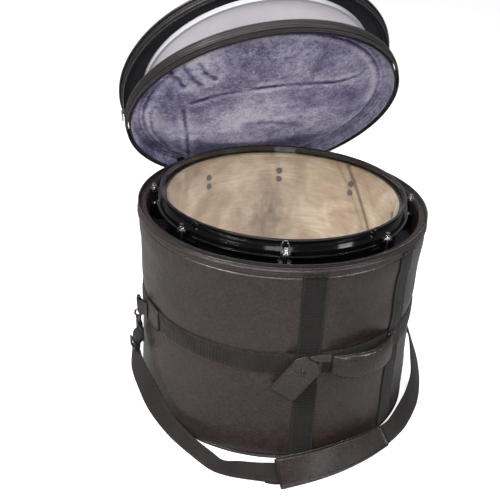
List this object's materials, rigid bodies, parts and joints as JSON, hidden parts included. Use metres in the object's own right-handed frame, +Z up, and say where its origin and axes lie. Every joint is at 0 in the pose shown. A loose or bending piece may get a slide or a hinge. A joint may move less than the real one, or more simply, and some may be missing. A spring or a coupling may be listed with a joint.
{
  "type": "floor tom drum in zip-lid carry bag",
  "caption": "Cylindrical drum with clear heads and tensioned hoops standing in a padded round carry bag, its hinged zip lid open with a spare head in the lid pocket, shoulder strap at the base.",
  "frame": {"origin": "centre of the bag's base, on the floor", "axes": "+Z up along the axis of the bag and drum; -Y is the front, the side with the luggage tag; +X to the right seen from the front"},
  "size_m": [0.5839, 0.6565, 0.7203],
  "materials": {
    "bag_vinyl": "satin embossed dark brown vinyl",
    "foam": "closed-cell foam",
    "plush": "grey-violet plush pile",
    "piping": "black vinyl piping",
    "webbing": "ribbed nylon webbing",
    "zip": "coil zip on woven tape",
    "metal_black": "gloss black enamel",
    "chrome": "polished",
    "nickel": "antique nickel plate",
    "wood_shell": "clear sealed wood inside, black gloss wrap outside",
    "clear_film": "clear polyester film",
    "coated_film": "white coated polyester film",
    "aluminium": "bright",
    "steel": "zinc plated",
    "brass": "plain",
    "divider": "woven lining over board",
    "black_plastic": "moulded"
  },
  "bodies": {
    "bag": {"bag_base_panel": "bag_vinyl", "bag_base_foam": "foam", "bag_base_lining": "plush", "bag_base_piping": "piping", "bag_wall_vinyl": "bag_vinyl", "bag_wall_foam": "foam", "bag_wall_lining": "plush", "bag_rim_facing": "bag_vinyl", "bag_zip": "zip", "belt_webbing": "webbing", "upright_webbing": "webbing", "ring_patches": "bag_vinyl", "ring_loops": "webbing", "handle_tabs": "webbing", "strap_left": "webbing", "strap_pad": "bag_vinyl", "strap_right": "webbing", "strap_adjuster": "nickel", "strap_eyes": "nickel", "hinge_anchor": "bag_vinyl"},
    "drum": {"drum_shell": "wood_shell", "air_vent": "chrome", "batter_head": "clear_film", "batter_head_hoop": "aluminium", "resonant_head": "clear_film", "resonant_head_hoop": "aluminium", "top_hoop": "metal_black", "bottom_hoop": "metal_black", "tension_rods_top": "chrome", "tension_rods_bottom": "chrome", "rod_washers": "steel", "lugs": "metal_black", "lug_inserts": "brass", "lug_screws": "steel"},
    "hinge_flap": {"hinge_flap": "bag_vinyl"},
    "lid": {"lid_zip": "zip", "lid_skirt": "bag_vinyl", "lid_lining": "plush", "lid_divider": "divider", "lid_pocket_zip": "zip", "lid_hinge_pad": "bag_vinyl"},
    "pocket_cover": {"cover_zip": "zip", "cover_shell": "bag_vinyl", "cover_lining": "divider", "cover_piping": "piping"},
    "spare_head": {"spare_head_hoop": "aluminium", "spare_head_film": "coated_film"},
    "carry_handle": {"carry_handle": "bag_vinyl"},
    "luggage_tag": {"luggage_tag": "bag_vinyl", "tag_strap": "bag_vinyl"},
    "d_ring_left": {"d_ring_left": "nickel"},
    "d_ring_right": {"d_ring_right": "nickel"},
    "snap_hook_left": {"snap_hook_left": "nickel"},
    "snap_hook_right": {"snap_hook_right": "nickel"},
    "hook_gate_left": {"hook_gate_left": "nickel"},
    "hook_gate_right": {"hook_gate_right": "nickel"},
    "zip_slider_left": {"zip_slider_left": "nickel"},
    "zip_slider_right": {"zip_slider_right": "nickel"},
    "pocket_slider_left": {"pocket_slider_left": "nickel"},
    "pocket_slider_right": {"pocket_slider_right": "nickel"}
  },
  "joints": [
    {"name": "lid_hinge_lower", "type": "hinge", "parent": "bag", "child": "hinge_flap", "pos_m": [-0.07653, 0.24272, 0.3117], "axis": [-0.9537, -0.3007, 0], "range_deg": [-124.7, 0]},
    {"name": "lid_hinge_upper", "type": "hinge", "parent": "hinge_flap", "child": "lid", "pos_m": [-0.08921, 0.28294, 0.2825], "axis": [-0.9537, -0.3007, 0], "range_deg": [0, 78.2]},
    {"name": "pocket_cover_hinge", "type": "hinge", "parent": "lid", "child": "pocket_cover", "pos_m": [-0.09474, 0.30048, 0.30408], "axis": [-0.9537, -0.3007, 0], "range_deg": [-7, 25]},
    {"name": "spare_head_lean", "type": "hinge", "parent": "lid", "child": "spare_head", "pos_m": [-0.09474, 0.30048, 0.30408], "axis": [-0.9537, -0.3007, 0], "range_deg": [-5.5, 19.64]},
    {"name": "drum_turn", "type": "hinge", "parent": "bag", "child": "drum", "pos_m": [0, 0, 0], "axis": [0, 0, 1], "continuous": true},
    {"name": "handle_swing", "type": "hinge", "parent": "bag", "child": "carry_handle", "pos_m": [0.08163, -0.23841, 0.188], "axis": [0.8471, 0.5314, 0], "range_deg": [-6, 8]},
    {"name": "tag_swing", "type": "hinge", "parent": "bag", "child": "luggage_tag", "pos_m": [0.0765, -0.2615, 0.2165], "axis": [0, 1, 0], "range_deg": [-20, 25]},
    {"name": "d_ring_swing_left", "type": "hinge", "parent": "bag", "child": "d_ring_left", "pos_m": [-0.23937, -0.09189, 0.187], "axis": [0, 0, 1], "range_deg": [-3, 3]},
    {"name": "hook_swivel_left", "type": "hinge", "parent": "bag", "child": "snap_hook_left", "pos_m": [-0.24188, -0.08535, 0.16881], "axis": [0, 0, 1], "range_deg": [-10, 10]},
    {"name": "hook_gate_left", "type": "hinge", "parent": "snap_hook_left", "child": "hook_gate_left", "pos_m": [-0.24782, -0.08763, 0.16484], "axis": [-0.3584, 0.9336, 0], "range_deg": [0, 5]},
    {"name": "d_ring_swing_right", "type": "hinge", "parent": "bag", "child": "d_ring_right", "pos_m": [0.23937, 0.09189, 0.187], "axis": [0, 0, 1], "range_deg": [-3, 3]},
    {"name": "hook_swivel_right", "type": "hinge", "parent": "bag", "child": "snap_hook_right", "pos_m": [0.23686, 0.09842, 0.16881], "axis": [0, 0, 1], "range_deg": [-10, 10]},
    {"name": "hook_gate_right", "type": "hinge", "parent": "snap_hook_right", "child": "hook_gate_right", "pos_m": [0.2428, 0.1007, 0.16484], "axis": [0.3584, -0.9336, 0], "range_deg": [0, 5]},
    {"name": "zip_slider_left", "type": "hinge", "parent": "bag", "child": "zip_slider_left", "pos_m": [0, 0, 0.366], "axis": [0, 0, 1], "range_deg": [0, 125]},
    {"name": "zip_slider_right", "type": "hinge", "parent": "bag", "child": "zip_slider_right", "pos_m": [0, 0, 0.366], "axis": [0, 0, 1], "range_deg": [-157, 0]},
    {"name": "pocket_slider_left", "type": "hinge", "parent": "lid", "child": "pocket_slider_left", "pos_m": [-0.04242, 0.13455, 0.48569], "axis": [-0.2181, 0.6918, 0.6884], "range_deg": [-50, 70]},
    {"name": "pocket_slider_right", "type": "hinge", "parent": "lid", "child": "pocket_slider_right", "pos_m": [-0.04242, 0.13455, 0.48569], "axis": [-0.2181, 0.6918, 0.6884], "range_deg": [-105, 50]}
  ],
  "couplings": [
    {"joint": "lid_hinge_upper", "follows": "lid_hinge_lower", "ratio": -0.62711},
    {"joint": "spare_head_lean", "follows": "pocket_cover_hinge", "ratio": 0.78571}
  ]
}
